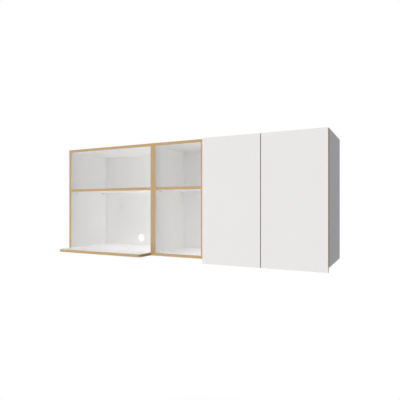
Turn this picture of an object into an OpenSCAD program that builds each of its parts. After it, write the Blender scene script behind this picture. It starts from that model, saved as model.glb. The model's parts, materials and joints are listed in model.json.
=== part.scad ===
// Wall-hung kitchen cabinet of three frameless units side by side: an open unit for a
// microwave oven with a projecting bottom, a narrow open unit, and a unit with two doors.
// X runs to the right seen from the front, Y into the wall, Z up. The origin lies on the
// wall, at the screw line of the middle unit's wall rail.

/* [Units] */
// Height of the units, without the overhang of the doors
unit_h = 600; // [450:10:900]
// Outer width of the microwave unit
microwave_w = 600; // [450:10:800]
// Outer width of the narrow open unit
narrow_w = 300; // [250:10:450]
// Outer width of the unit with doors
door_unit_w = 600; // [450:10:900]
// Depth of the units, from the wall to the front edges of the boards
unit_depth = 342; // [280:2:400]
// Thickness of the boards of the units
board_t = 15; // [14:0.5:16.5]
// Thickness of the edging on board edges
band_t = 0.5; // [0.4:0.1:2]

/* [Back panels] */
// Thickness of the back panels
back_t = 3; // [2.5:0.5:4]
// Space between the back panels and the wall, where the hangers are
wall_space = 16; // [16:1:30]
// Depth of the grooves that hold the back panels
groove_depth = 8; // [5:0.5:9]
// Play between a back panel and the floor of its grooves
groove_end_play = 0.5; // [0.2:0.1:0.9]

/* [Shelves] */
// Height of the shelves' undersides above the bottom of the units
shelf_rise = 350; // [200:5:400]
// Distance from the units' front plane to the front of the shelves
shelf_setback = 5; // [2:1:30]
// Play between a shelf and each side, and between a shelf and the back
shelf_play = 0.5; // [0.2:0.1:0.9]
// Diameter of the shelf pins' shanks
pin_d = 5; // [4:0.5:6]
// Width of the shelf pins' brackets
pin_bracket_w = 8; // [7:0.5:12]
// Height of the shelf pins' brackets
pin_bracket_h = 12; // [9:0.5:18]
// Length of the shelf pins inside the sides
pin_depth = 8; // [6:0.5:10]
// Length of the shelf pins under the shelves
pin_reach = 8; // [6:0.5:12]
// Distance from the units' front plane to the front pins
front_pin_inset = 45; // [37:1:80]
// Distance from the back panels to the rear pins
rear_pin_inset = 40; // [30:1:80]

/* [Projecting bottom] */
// Length of the microwave unit's bottom in front of the units' front plane
projection = 100; // [40:5:150]
// Radius of its two front corners
bottom_corner_r = 20; // [5:1:35]
// Diameter of the cable hole in the back panel
cable_hole_d = 50; // [30:1:80]
// Height of the cable hole's centre above the bottom of the unit
cable_hole_rise = 62; // [60:1:120]

/* [Doors] */
// Thickness of the doors
door_t = 15; // [15:0.5:22]
// Gap between the doors, and twice their distance from the unit's outer faces
door_gap = 3; // [2:0.5:4]
// Length of the doors below the unit, as a finger pull
door_overhang = 20; // [0:1:40]
// Gap between the doors' backs and the unit
door_stand_off = 3; // [2.5:0.5:4]
// Diameter of the bumpers
bumper_d = 8; // [6:0.5:12]
// Gap between a bumper and the unit while the door is closed
bumper_gap = 0.3; // [0.2:0.1:0.5]

/* [Hinges] */
// Distance from the unit's top and bottom to the hinges' centres
hinge_inset = 100; // [70:5:160]
// Diameter of the hinge cups
cup_d = 35; // [34:0.5:36]
// Depth of the hinge cups in the doors
cup_depth = 12; // [12:0.1:12.8]
// Distance from a door's edge to its hinge cups
cup_edge = 3; // [2.5:0.1:3.2]
// Distance from a door's edge to the hinge pins
pivot_edge = 6.8; // [6.6:0.1:7]
// Depth of the hinge pins below the doors' backs
pivot_depth = 9; // [8.8:0.1:9.2]
// Diameter of the hinge pins
hinge_pin_d = 2.5; // [2:0.1:2.8]
// Radial clearance of the arms' eyes on the hinge pins
eye_play = 0.05; // [0.02:0.01:0.1]
// Outer diameter of the arms' eyes
eye_d = 4.2; // [4:0.1:4.4]
// Width of the hinge arms
arm_w = 10; // [8:0.5:10.5]
// Thickness of the hinge arms
arm_t = 2; // [1.5:0.1:2]
// Distance from the unit's outer face to the underside of the hinge arms
arm_line = 19; // [19:0.5:22]
// Distance from the unit's front plane to the system holes of the mounting plates
system_inset = 37; // [32:1:45]
// Spacing of the system holes
system_pitch = 32; // [32:1:40]

/* [Wall hanging] */
// Distance from the top of the units to the rails' screw line
rail_drop = 45; // [45:1:70]
// Thickness of the wall rails
rail_t = 2; // [1.5:0.1:2.5]
// Gap behind the rails' upper lips
rail_gap = 5; // [4.5:0.1:5]
// Diameter of the rails' screw holes
rail_hole_d = 7; // [5:0.5:9]
// Distance from a rail's end to its screw hole
rail_hole_inset = 40; // [30:1:60]
// Distance from the units' sides to the rails' ends
rail_end_gap = 8; // [6:1:20]
// Width of the hangers' hooks
hook_w = 24; // [18:1:30]
// Thickness of the hangers' hooks
hook_t = 2.5; // [2:0.1:2.5]

/* [Fasteners] */
// Diameter of the corner cams
cam_d = 15; // [12:0.5:15]
// Distance from a side's inner face to the axis of a cam
cam_reach = 34; // [30:1:40]
// Diameter of the wooden dowels
dowel_d = 8; // [6:0.5:8]
// Length of the wooden dowels
dowel_l = 30; // [25:1:40]
// Diameter of the screws
screw_d = 4; // [3.5:0.1:4.5]
// Length of the screws that join the units
joining_screw_l = 25; // [22:0.5:27]

/* [Hidden] */
$fn = 48;
MICROWAVE = 0;
NARROW = 1;
DOORS = 2;
LEFT = -1;
RIGHT = 1;
eps = 1;

board_white = [0.93, 0.93, 0.92];
oak = [0.80, 0.66, 0.47];
nickel = [0.72, 0.72, 0.70];
zinc = [0.78, 0.79, 0.80];
beech = [0.82, 0.70, 0.52];
clear_rubber = [0.88, 0.88, 0.86];
white_plastic = [0.90, 0.90, 0.88];

// Units: outer left and right faces, top and bottom
left_x = [-narrow_w / 2 - microwave_w, -narrow_w / 2, narrow_w / 2];
right_x = [-narrow_w / 2, narrow_w / 2, narrow_w / 2 + door_unit_w];
top_z = rail_drop;
bottom_z = top_z - unit_h;
front_y = -unit_depth;
edge_y = front_y + band_t;

// Back panels and shelves
back_front_y = -wall_space - back_t;
shelf_z = bottom_z + shelf_rise;
pin_flat = pin_d / 2;
pin_ledge_t = 2.5;

// Doors
door_reveal = door_gap / 2;
door_w = (door_unit_w - 2 * door_gap) / 2;
door_back_y = front_y - door_stand_off;
door_front_y = door_back_y - door_t;
door_bottom_z = bottom_z - door_overhang;
door_h = unit_h + door_overhang;

// Hinges, measured from the unit's outer face and front plane
cup_x = door_reveal + cup_edge + cup_d / 2;
pivot_x = door_reveal + pivot_edge;
pivot_y = -door_stand_off - pivot_depth;
pocket_half = arm_w / 2 + 0.4;
plate_h = arm_line - board_t;
hinge_heights = [bottom_z + hinge_inset, top_z - hinge_inset];

// Wall rail and hangers, with heights measured from the screw line
rail_foot_z = -16;
rail_step_z = 10;
lip_top_z = 24;
lip_front_y = -rail_gap - rail_t;
hook_play = 0.3;
hook_front_y = lip_front_y - hook_play - hook_t;
tongue_l = 10;
hook_l = 30;
hanger_t = 1.5;
hanger_front_y = -wall_space;
hanger_cheek_x = 10;

// Corner fittings: distances along the depth, and length of the holes in the sides
fitting_inset = 60;
dowel_offset = 32;
cam_skin = 2.5;
bolt_thread_l = 10;
dowel_in_side = 11;
joining_inset = 96;
joining_drop = 50;

// Where a unit's boards lie

function inner_left(unit) = left_x[unit] + board_t;
function inner_right(unit) = right_x[unit] - board_t;
function inner_w(unit) = inner_right(unit) - inner_left(unit);
function middle_x(unit) = (left_x[unit] + right_x[unit]) / 2;
function rail_l(unit) = inner_w(unit) - 2 * rail_end_gap;
function rail_hole_spacing(unit) = rail_l(unit) - 2 * rail_hole_inset;

// Draws its children at a unit's side, with X = 0 on the inner face and X into the unit
module at_side(unit, side) {
    x = side == LEFT ? inner_left(unit) : inner_right(unit);
    translate([x, 0, 0]) mirror([side == LEFT ? 0 : 1, 0, 0]) children();
}

module at_both_sides(unit) {
    for (side = [LEFT, RIGHT]) at_side(unit, side) children();
}

// Draws its children at a door's two hinges, with X from the unit's outer face,
// Y from its front plane and Z from the hinge's centre
module at_hinges(side) {
    for (z = hinge_heights)
        translate([side == LEFT ? left_x[DOORS] : right_x[DOORS], front_y, z])
            mirror([side == LEFT ? 0 : 1, 0, 0]) children();
}

// A rod along X from x0 to x1
module rod_x(r, x0, x1) {
    translate([x0, 0, 0]) rotate([0, 90, 0]) cylinder(r = r, h = x1 - x0);
}

// A rod along Y from y0 to y1
module rod_y(r, y0, y1) {
    translate([0, y1, 0]) rotate([90, 0, 0]) cylinder(r = r, h = y1 - y0);
}

module box(low, high) {
    translate(low) cube(high - low);
}

// Corner fittings, in a side's frame

// Places its children at the four cam axes' lines of one side of a unit
module at_fittings(heights) {
    for (z = heights, y = [front_y + fitting_inset, -fitting_inset])
        translate([0, y, z]) children();
}

// Places its children at the dowels, which lie further inside than the cams
module at_dowels(heights) {
    for (z = heights, y = [front_y + fitting_inset + dowel_offset, -fitting_inset - dowel_offset])
        translate([0, y, z]) children();
}

top_mid_z = top_z - board_t / 2;
bottom_mid_z = bottom_z + board_t / 2;
both_mids = [top_mid_z, bottom_mid_z];

bolt_thread_r = 2.5;
bolt_shaft_r = 3;
bolt_neck_r = 2;
bolt_head_r = 3.5;
bolt_hole_r = 4;
bolt_head_l = 3;
bolt_neck_l = 3;
bolt_tip_gap = 1;

module cam_bolt() {
    tip = cam_reach - bolt_tip_gap;
    rod_x(bolt_thread_r, -bolt_thread_l, 0);
    rod_x(bolt_shaft_r, 0, tip - bolt_head_l - bolt_neck_l);
    rod_x(bolt_neck_r, tip - bolt_head_l - bolt_neck_l, tip - bolt_head_l);
    rod_x(bolt_head_r, tip - bolt_head_l, tip);
}

// Holes that a horizontal board has for its fittings; face is 1 where the cams lie in
// the upper face and -1 where they lie in the lower one
module fitting_holes(unit, z, face) {
    at_both_sides(unit) {
        at_fittings([z]) {
            rod_x(bolt_hole_r, -eps, cam_reach);
            cam_space(face, eps);
        }
        at_dowels([z]) rod_x(dowel_d / 2, -eps, dowel_l - dowel_in_side);
    }
}

// The space of a cam, open at the board's face and longer by extra there
module cam_space(face, extra) {
    depth = board_t - cam_skin;
    low = face > 0 ? board_t / 2 - depth : -board_t / 2 - extra;
    translate([cam_reach, 0, low]) cylinder(d = cam_d, h = depth + extra);
}

cross_w = 1.5;
cross_l = 9;
cross_depth = 2;

// A cam: a disc with a cross slot, hollowed for the head of its bolt
module cam(face) {
    difference() {
        cam_space(face, 0);
        rod_x(bolt_hole_r, -eps, cam_reach + bolt_tip_gap);
        for (turn = [0, 90])
            translate([cam_reach, 0, face * board_t / 2]) rotate([0, 0, turn + 45])
                cube([cross_l, cross_w, 2 * cross_depth], center = true);
    }
}

// Boards

// The groove for the back panel, cut into a face that lies at Z = 0 or X = 0
module back_groove_at_side() {
    box([-groove_depth, back_front_y, bottom_z - eps], [eps, -wall_space, top_z + eps]);
}

module shelf_pin_places() {
    for (y = [front_y + front_pin_inset, back_front_y - rear_pin_inset])
        translate([0, y, shelf_z - pin_flat]) children();
}

module joining_places() {
    for (z = [top_z - joining_drop, bottom_z + joining_drop], y = [front_y + joining_inset, -joining_inset])
        translate([0, y, z]) children();
}

head_r = screw_d;
head_l = head_r - screw_d / 2;

// A countersunk screw along X, with its head's face at X = 0 and its length towards -X
module countersunk_screw(l) {
    rod_x(screw_d / 2, -l, 0);
    translate([-head_l, 0, 0]) rotate([0, 90, 0]) cylinder(r1 = screw_d / 2, r2 = head_r, h = head_l);
}

// Where the hangers are screwed to a side
fixing_y = -8;
fixing_l = 12;
fixing_drop = 8;
fixing_spacing = 22;
module hanger_fixing_places() {
    for (z = [lip_top_z - fixing_drop, lip_top_z - fixing_drop - fixing_spacing])
        translate([hanger_t, fixing_y, z]) children();
}

plate_screw_depth = 11;

// One side of a unit, with its groove and holes in the inner face
module side_board(unit, side) {
    joined_right = side == RIGHT && unit != DOORS;
    joined_left = side == LEFT && unit != MICROWAVE;
    color(board_white) at_side(unit, side) difference() {
        box([-board_t, edge_y, bottom_z], [0, 0, top_z]);
        back_groove_at_side();
        shelf_pin_places() rod_x(pin_d / 2, -pin_depth, eps);
        at_fittings(both_mids) rod_x(bolt_thread_r, -bolt_thread_l, eps);
        at_dowels(both_mids) rod_x(dowel_d / 2, -dowel_in_side, eps);
        hanger_fixing_places() rod_x(screw_d / 2, -fixing_l, eps);
        if (joined_right) joining_places() countersunk_screw(joining_screw_l);
        if (joined_left) joining_places()
            rod_x(screw_d / 2, -board_t - eps, joining_screw_l - 2 * board_t);
        if (unit == DOORS)
            for (z = hinge_heights, s = [-1, 1])
                translate([0, front_y + system_inset, z + s * system_pitch / 2])
                    rod_x(screw_d / 2, -plate_screw_depth, eps);
    }
}

// A horizontal board between the sides of a unit; face is 1 for a top and -1 for a bottom
module level_board(unit, face) {
    mid = face > 0 ? top_mid_z : bottom_mid_z;
    inner_z = mid - face * board_t / 2;
    color(board_white) difference() {
        box([inner_left(unit), edge_y, mid - board_t / 2], [inner_right(unit), 0, mid + board_t / 2]);
        level_groove(unit, inner_z);
        fitting_holes(unit, mid, face);
    }
}

module level_groove(unit, inner_z) {
    box([left_x[unit], back_front_y, inner_z - groove_depth],
        [right_x[unit], -wall_space, inner_z + groove_depth]);
}

// The outline of the projecting bottom in front of the front plane, drawn inside by inset
module projection_outline(inset) {
    half = inner_w(MICROWAVE) / 2 - inset;
    r = bottom_corner_r - inset;
    tip = -projection + inset;
    translate([-half, tip + r]) square([2 * half, projection - inset - r]);
    translate([-half + r, tip]) square([2 * (half - r), projection - inset]);
    for (s = [-1, 1]) translate([s * (half - r), tip + r]) circle(r);
}

module microwave_bottom() {
    color(board_white) difference() {
        union() {
            box([inner_left(MICROWAVE), front_y, bottom_z], [inner_right(MICROWAVE), 0, bottom_z + board_t]);
            translate([middle_x(MICROWAVE), front_y, bottom_z])
                linear_extrude(board_t) projection_outline(band_t);
        }
        level_groove(MICROWAVE, bottom_z + board_t);
        fitting_holes(MICROWAVE, bottom_mid_z, -1);
    }
}

module microwave_bottom_band() {
    color(oak) translate([middle_x(MICROWAVE), front_y, bottom_z]) linear_extrude(board_t) difference() {
        projection_outline(0);
        projection_outline(band_t);
        translate([-inner_w(MICROWAVE), 0]) square([2 * inner_w(MICROWAVE), eps]);
    }
}

module shelf_board(unit) {
    color(board_white) box(
        [inner_left(unit) + shelf_play, edge_y + shelf_setback, shelf_z],
        [inner_right(unit) - shelf_play, back_front_y - shelf_play, shelf_z + board_t]);
}

module back_panel(unit) {
    reach = groove_depth - groove_end_play;
    color(board_white) box(
        [inner_left(unit) - reach, back_front_y, bottom_z + board_t - reach],
        [inner_right(unit) + reach, -wall_space, top_z - board_t + reach]);
}

module microwave_back() {
    difference() {
        back_panel(MICROWAVE);
        translate([middle_x(MICROWAVE), 0, bottom_z + cable_hole_rise])
            rod_y(cable_hole_d / 2, back_front_y - eps, -wall_space + eps);
    }
}

// Edging of a unit's front: the sides, the top, the shelf and, where wanted, the bottom
module front_bands(unit, with_bottom) {
    color(oak) {
        at_both_sides(unit) box([-board_t, front_y, bottom_z], [0, edge_y, top_z]);
        box([inner_left(unit), front_y, top_z - board_t], [inner_right(unit), edge_y, top_z]);
        if (with_bottom)
            box([inner_left(unit), front_y, bottom_z], [inner_right(unit), edge_y, bottom_z + board_t]);
        translate([0, shelf_setback, 0]) box(
            [inner_left(unit) + shelf_play, front_y, shelf_z],
            [inner_right(unit) - shelf_play, edge_y, shelf_z + board_t]);
    }
}

// A shelf pin: a shank in the side and a tapered bracket whose flat top carries the shelf
module shelf_pins(unit) {
    foot_z = pin_flat - pin_bracket_h;
    color(white_plastic) at_both_sides(unit) shelf_pin_places() {
        rod_x(pin_d / 2, -pin_depth, 0);
        translate([0, pin_bracket_w / 2, 0]) rotate([90, 0, 0]) linear_extrude(pin_bracket_w)
            polygon([
                [0, pin_flat], [pin_reach, pin_flat], [pin_reach, pin_flat - pin_ledge_t],
                [pin_ledge_t, foot_z], [0, foot_z]]);
    }
}

// Doors, drawn in a frame with X = 0 on the unit's outer face at the hinges

module at_door(side) {
    translate([side == LEFT ? left_x[DOORS] : right_x[DOORS], 0, 0])
        mirror([side == LEFT ? 0 : 1, 0, 0]) children();
}

cup_screw_x = cup_x + 9.5;
cup_screw_z = 22.5;
cup_screw_depth = 10;
cup_hole_play = 0.3;

module cup_screw_places() {
    for (s = [-1, 1]) translate([cup_screw_x, -door_stand_off, s * cup_screw_z]) children();
}

module door_panel(side) {
    color(board_white) difference() {
        at_door(side) box(
            [door_reveal + band_t, door_front_y, door_bottom_z + band_t],
            [door_reveal + door_w - band_t, door_back_y, top_z - band_t]);
        at_hinges(side) {
            translate([cup_x, -door_stand_off, 0])
                rod_y(cup_d / 2, -cup_depth - cup_hole_play, eps);
            cup_screw_places() rod_y(screw_d / 2, -cup_screw_depth, eps);
        }
    }
}

module door_bands(side) {
    x0 = door_reveal;
    x1 = door_reveal + door_w;
    color(oak) at_door(side) {
        for (x = [x0, x1 - band_t])
            box([x, door_front_y, door_bottom_z], [x + band_t, door_back_y, top_z]);
        for (z = [door_bottom_z, top_z - band_t])
            box([x0 + band_t, door_front_y, z], [x1 - band_t, door_back_y, z + band_t]);
    }
}

bumper_inset = 25;

// Bumpers on a door's back, behind which the unit's top and bottom edges lie
module door_bumpers(side) {
    color(clear_rubber) at_door(side)
        for (z = both_mids) translate([door_reveal + door_w - bumper_inset, 0, z])
            rod_y(bumper_d / 2, door_back_y, front_y - bumper_gap);
}

// Hinges

flange_t = 1;
flange_r = 19;
flange_ear_r = 6;
flange_edge = 10;
cup_floor = 0.8;
pocket_far = 14;

module flange_outline() {
    difference() {
        circle(flange_r);
        translate([-2 * flange_r, -2 * flange_r]) square([2 * flange_r - flange_edge, 4 * flange_r]);
    }
    for (s = [-1, 1]) translate([cup_screw_x - cup_x, s * cup_screw_z]) circle(flange_ear_r);
    translate([cup_screw_x - cup_x - flange_ear_r, -cup_screw_z])
        square([2 * flange_ear_r, 2 * cup_screw_z]);
}

// A cast cup with a pocket for the arm and a screwed flange on the door's back
module hinge_cup() {
    eye_space = eye_d / 2 + 0.25;
    difference() {
        union() {
            translate([cup_x, -door_stand_off, 0]) rod_y(cup_d / 2, -cup_depth, 0);
            translate([cup_x, -door_stand_off + flange_t, 0]) rotate([90, 0, 0])
                linear_extrude(flange_t) flange_outline();
        }
        box([pivot_x - eye_space, -door_stand_off - cup_depth + cup_floor, -pocket_half],
            [cup_x + pocket_far, eps, pocket_half]);
        translate([pivot_x, pivot_y, 0]) cylinder(d = hinge_pin_d, h = 2 * hinge_pin_half, center = true);
        cup_screw_places() rod_y(screw_d / 2, -eps, flange_t + eps);
    }
}

hinge_pin_half = pocket_half + 2.8;

module hinge_cups(side) {
    color(nickel) at_hinges(side) hinge_cup();
}

module hinge_pins(side) {
    color(zinc) at_hinges(side) translate([pivot_x, pivot_y, 0])
        cylinder(d = hinge_pin_d, h = 2 * hinge_pin_half, center = true);
}

cup_head_r = 3.5;
cup_head_l = 1.2;

module hinge_cup_screws(side) {
    color(zinc) at_hinges(side) cup_screw_places() {
        rod_y(screw_d / 2, -cup_screw_depth, flange_t);
        rod_y(cup_head_r, flange_t, flange_t + cup_head_l - 0.4);
    }
}

arm_end_y = 64;
elbow_r = 3;
channel_start_y = 12;
channel_t = 1.2;
channel_gap = 0.3;
arm_screw_y = 50;
adjust_screw_y = 26;
arm_screw_r = 2.5;

// The arm's outline seen from above: an eye, a leg along the cup's floor, a bend, and a
// straight stretch that runs out of the cup and along the unit's side
module arm_outline() {
    mid_x = arm_line + arm_t / 2;
    translate([pivot_x, pivot_y]) circle(d = eye_d);
    translate([pivot_x, pivot_y - arm_t / 2]) square([mid_x - elbow_r - pivot_x, arm_t]);
    translate([mid_x - elbow_r, pivot_y + elbow_r]) intersection() {
        difference() {
            circle(elbow_r + arm_t / 2);
            circle(elbow_r - arm_t / 2);
        }
        translate([0, -2 * elbow_r]) square(2 * elbow_r);
    }
    translate([arm_line, pivot_y + elbow_r]) square([arm_t, arm_end_y - pivot_y - elbow_r]);
}

module hinge_arm() {
    difference() {
        union() {
            translate([0, 0, -arm_w / 2]) linear_extrude(arm_w) arm_outline();
            for (s = [-1, 1]) mirror([0, 0, s > 0 ? 0 : 1])
                box([board_t + plate_base + channel_gap, channel_start_y, arm_w / 2],
                    [arm_line + arm_t, arm_end_y, arm_w / 2 + channel_t]);
        }
        translate([pivot_x, pivot_y, 0])
            cylinder(r = hinge_pin_d / 2 + eye_play, h = 2 * arm_w, center = true);
        for (y = [arm_screw_y, adjust_screw_y])
            translate([0, y, 0]) rod_x(arm_screw_r, arm_line - eps, arm_line + arm_t + eps);
    }
}

module hinge_arms() {
    color(nickel) for (side = [LEFT, RIGHT]) at_hinges(side) hinge_arm();
}

plate_base = 1.5;
plate_w = 18;
plate_start_y = 8;
plate_wing_l = 52;
plate_wing_w = 16;

// A cross-shaped mounting plate with a raised seat for the arm
module hinge_plate() {
    seat_half = arm_w / 2;
    difference() {
        union() {
            box([board_t, plate_start_y, -plate_w / 2], [board_t + plate_base, arm_end_y, plate_w / 2]);
            box([board_t, system_inset - plate_wing_w / 2, -plate_wing_l / 2],
                [board_t + plate_base, system_inset + plate_wing_w / 2, plate_wing_l / 2]);
            box([board_t, plate_start_y, -seat_half], [arm_line, arm_end_y, seat_half]);
        }
        for (s = [-1, 1]) translate([board_t, system_inset, s * system_pitch / 2])
            rod_x(screw_d / 2, -eps, plate_base + eps);
        for (y = [arm_screw_y, adjust_screw_y])
            translate([board_t, y, 0]) rod_x(arm_screw_r, plate_base, plate_h + eps);
    }
}

module hinge_plates() {
    color(nickel) for (side = [LEFT, RIGHT]) at_hinges(side) hinge_plate();
}

pan_head_r = 3.8;
pan_head_l = 2;

module hinge_plate_screws() {
    color(zinc) for (side = [LEFT, RIGHT]) at_hinges(side)
        for (s = [-1, 1]) translate([board_t, system_inset, s * system_pitch / 2]) {
            rod_x(screw_d / 2, -plate_screw_depth, plate_base);
            rod_x(pan_head_r, plate_base, plate_base + pan_head_l);
        }
}

module hinge_arm_screws() {
    color(zinc) for (side = [LEFT, RIGHT]) at_hinges(side) {
        translate([0, arm_screw_y, 0]) {
            rod_x(arm_screw_r, board_t + plate_base, arm_line + arm_t);
            rod_x(pan_head_r, arm_line + arm_t, arm_line + arm_t + pan_head_l);
        }
        translate([0, adjust_screw_y, 0])
            rod_x(arm_screw_r, board_t + plate_base, arm_line + arm_t + pan_head_l / 2);
    }
}

// Wall rails and hangers

// Extrudes an outline drawn in Y and Z along X, from x0 to x1
module along_x(x0, x1) {
    translate([x0, 0, 0]) rotate([90, 0, 90]) linear_extrude(x1 - x0) children();
}

module rail_outline() {
    translate([-rail_t, rail_foot_z]) square([rail_t, rail_step_z - rail_foot_z]);
    translate([lip_front_y, rail_step_z - rail_t]) square([-lip_front_y, rail_t]);
    translate([lip_front_y, rail_step_z - rail_t]) square([rail_t, lip_top_z - rail_step_z + rail_t]);
}

module wall_rail(unit) {
    x = middle_x(unit);
    color(zinc) difference() {
        along_x(x - rail_l(unit) / 2, x + rail_l(unit) / 2) rail_outline();
        for (s = [-1, 1]) translate([x + s * rail_hole_spacing(unit) / 2, 0, 0])
            rod_y(rail_hole_d / 2, -rail_t - eps, eps);
    }
}

// A hook: a tongue behind the rail's lip, a bridge on the lip, a leg and a threaded foot
module hook_outline() {
    tongue_y = -rail_gap + hook_play;
    translate([tongue_y, lip_top_z - tongue_l]) square([hook_t, tongue_l + hook_t]);
    translate([hook_front_y, lip_top_z]) square([tongue_y + hook_t - hook_front_y, hook_t]);
    translate([hook_front_y, lip_top_z - hook_l]) square([hook_t, hook_l + hook_t]);
}

foot_l = 3.4;
adjust_r = 1.5;
adjust_y = hook_front_y - foot_l / 2;

module at_hangers() {
    for (unit = [MICROWAVE, NARROW, DOORS]) at_both_sides(unit) children();
}

module hook() {
    x0 = hanger_cheek_x + hanger_t + hook_play;
    difference() {
        union() {
            along_x(x0, x0 + hook_w) hook_outline();
            box([x0, hook_front_y - foot_l, lip_top_z - hook_l],
                [x0 + hook_w, hook_front_y, lip_top_z - hook_l + hook_t]);
        }
        translate([x0 + hook_w / 2, adjust_y, 0]) cylinder(r = adjust_r, h = 4 * hook_l, center = true);
    }
}

module hanger_hooks() {
    color(zinc) at_hangers() hook();
}

sill_gap = 6;

// A bracket of folded sheet, screwed to the side, with two cheeks and a sill that
// carries the adjusting screw
module hanger_bracket() {
    x1 = hanger_cheek_x + 2 * hanger_t + hook_w + 2 * hook_play;
    low = lip_top_z - hook_l - sill_gap - hanger_t;
    high = lip_top_z + hook_t;
    difference() {
        union() {
            box([0, hanger_front_y, low], [x1, hanger_front_y + hanger_t, high]);
            box([0, hanger_front_y, low], [hanger_t, -eps, high]);
            for (x = [hanger_cheek_x, x1 - hanger_t])
                box([x, hanger_front_y, low], [x + hanger_t, hook_front_y, high]);
            box([hanger_cheek_x, hanger_front_y, low], [x1, hook_front_y, low + hanger_t]);
        }
        hanger_fixing_places() rod_x(screw_d / 2, -hanger_t - eps, eps);
    }
}

module hanger_brackets() {
    color(zinc) at_hangers() hanger_bracket();
}

module hanger_adjusting_screws() {
    x0 = hanger_cheek_x + hanger_t + hook_play;
    color(nickel) at_hangers() translate([x0 + hook_w / 2, adjust_y, lip_top_z - hook_l - sill_gap])
        cylinder(r = adjust_r, h = hook_l);
}

module hanger_fixing_screws() {
    color(zinc) at_hangers() hanger_fixing_places() {
        rod_x(screw_d / 2, -fixing_l, 0);
        rod_x(pan_head_r, 0, pan_head_l);
    }
}

// Fasteners of the units

module corner_cams() {
    color(zinc) for (unit = [MICROWAVE, NARROW, DOORS]) at_both_sides(unit) {
        at_fittings([top_mid_z]) cam(1);
        at_fittings([bottom_mid_z]) cam(-1);
    }
}

module corner_cam_bolts() {
    color(zinc) for (unit = [MICROWAVE, NARROW, DOORS]) at_both_sides(unit)
        at_fittings(both_mids) cam_bolt();
}

module corner_dowels() {
    color(beech) for (unit = [MICROWAVE, NARROW, DOORS]) at_both_sides(unit)
        at_dowels(both_mids) rod_x(dowel_d / 2, -dowel_in_side, dowel_l - dowel_in_side);
}

module unit_joining_screws() {
    color(zinc) for (unit = [MICROWAVE, NARROW]) at_side(unit, RIGHT)
        joining_places() countersunk_screw(joining_screw_l);
}

side_board(MICROWAVE, LEFT);  // microwave_left_side
side_board(MICROWAVE, RIGHT);  // microwave_right_side
level_board(MICROWAVE, 1);  // microwave_top
microwave_bottom();
shelf_board(MICROWAVE);  // microwave_shelf
microwave_back();
front_bands(MICROWAVE, false);  // microwave_front_bands
microwave_bottom_band();
side_board(NARROW, LEFT);  // narrow_left_side
side_board(NARROW, RIGHT);  // narrow_right_side
level_board(NARROW, 1);  // narrow_top
level_board(NARROW, -1);  // narrow_bottom
shelf_board(NARROW);  // narrow_shelf
back_panel(NARROW);  // narrow_back
front_bands(NARROW, true);  // narrow_front_bands
side_board(DOORS, LEFT);  // door_unit_left_side
side_board(DOORS, RIGHT);  // door_unit_right_side
level_board(DOORS, 1);  // door_unit_top
level_board(DOORS, -1);  // door_unit_bottom
shelf_board(DOORS);  // door_unit_shelf
back_panel(DOORS);  // door_unit_back
front_bands(DOORS, true);  // door_unit_front_bands
door_panel(LEFT);  // left_door
door_bands(LEFT);  // left_door_bands
door_bumpers(LEFT);  // left_door_bumpers
door_panel(RIGHT);  // right_door
door_bands(RIGHT);  // right_door_bands
door_bumpers(RIGHT);  // right_door_bumpers
hinge_cups(LEFT);  // left_hinge_cups
hinge_pins(LEFT);  // left_hinge_pins
hinge_cup_screws(LEFT);  // left_hinge_cup_screws
hinge_cups(RIGHT);  // right_hinge_cups
hinge_pins(RIGHT);  // right_hinge_pins
hinge_cup_screws(RIGHT);  // right_hinge_cup_screws
hinge_arms();
hinge_plates();
hinge_plate_screws();
hinge_arm_screws();
shelf_pins(MICROWAVE);  // microwave_shelf_pins
shelf_pins(NARROW);  // narrow_shelf_pins
shelf_pins(DOORS);  // door_unit_shelf_pins
wall_rail(MICROWAVE);  // microwave_wall_rail
wall_rail(NARROW);  // narrow_wall_rail
wall_rail(DOORS);  // door_unit_wall_rail
hanger_brackets();
hanger_hooks();
hanger_adjusting_screws();
hanger_fixing_screws();
corner_cams();
corner_cam_bolts();
corner_dowels();
unit_joining_screws();
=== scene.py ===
# %% [markdown]
# # A wall-hung kitchen cabinet, dressed for a picture
#
# The construction of this cabinet comes from a CAD model: three frameless units side by
# side, an open one for a microwave oven, a narrow open one, and one behind two doors.
# This lesson gives each of its surfaces a finish, lays the oak-tone edging on the board
# edges, cuts the recesses into the screws, and sets up the light and the camera.

# %% The frame and its size
import json

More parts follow.
